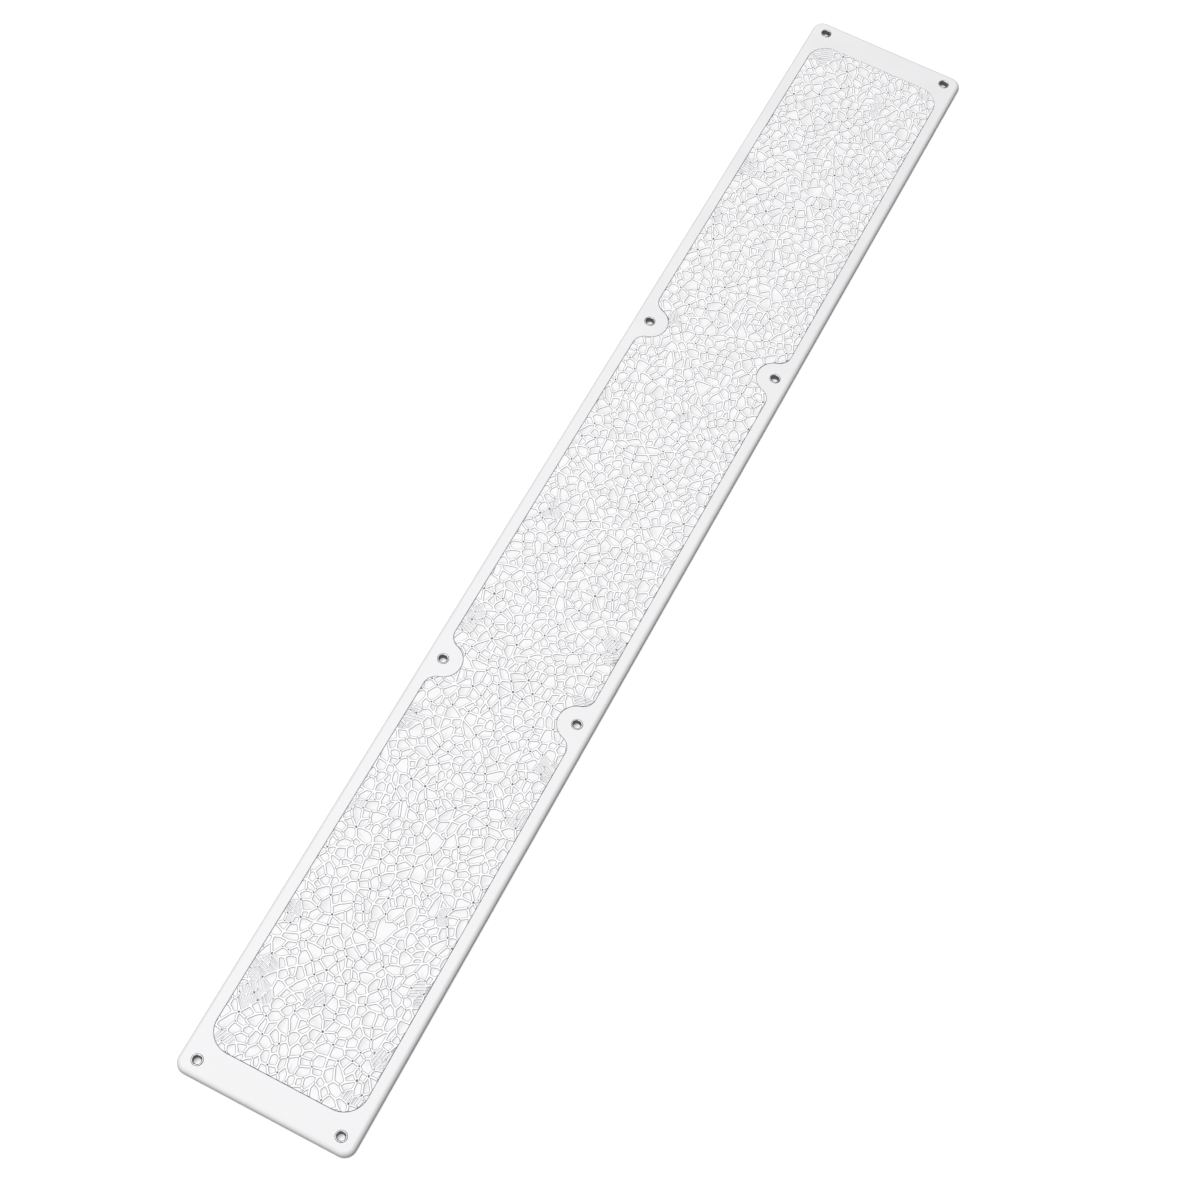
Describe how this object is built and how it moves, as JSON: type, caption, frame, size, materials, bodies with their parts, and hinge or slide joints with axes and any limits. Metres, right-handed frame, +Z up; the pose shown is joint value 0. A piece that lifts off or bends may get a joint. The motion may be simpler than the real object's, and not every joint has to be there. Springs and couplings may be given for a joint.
{
  "type": "non-slip tread board",
  "caption": "Long thin moulded board with a rounded rim, a recessed grip inlay of irregular cell relief and ferruled screw holes near its sides.",
  "frame": {"origin": "centre of the footprint, on the surface that the board lies on", "axes": "+Y along the board's length, +X across its width, +Z up out of the grip face"},
  "size_m": [0.1, 0.77, 0.0038],
  "materials": {
    "carrier_plastic": "satin white moulded plastic",
    "grip_plastic": "fine-grained white moulded plastic",
    "ferrule_metal": "bright plated metal"
  },
  "bodies": {
    "root": {"carrier_board": "carrier_plastic", "grip_inlay": "grip_plastic", "screw_ferrule_far_left": "ferrule_metal", "screw_ferrule_far_right": "ferrule_metal", "screw_ferrule_far_middle_left": "ferrule_metal", "screw_ferrule_far_middle_right": "ferrule_metal", "screw_ferrule_near_middle_left": "ferrule_metal", "screw_ferrule_near_middle_right": "ferrule_metal", "screw_ferrule_near_left": "ferrule_metal", "screw_ferrule_near_right": "ferrule_metal"}
  },
  "joints": []
}
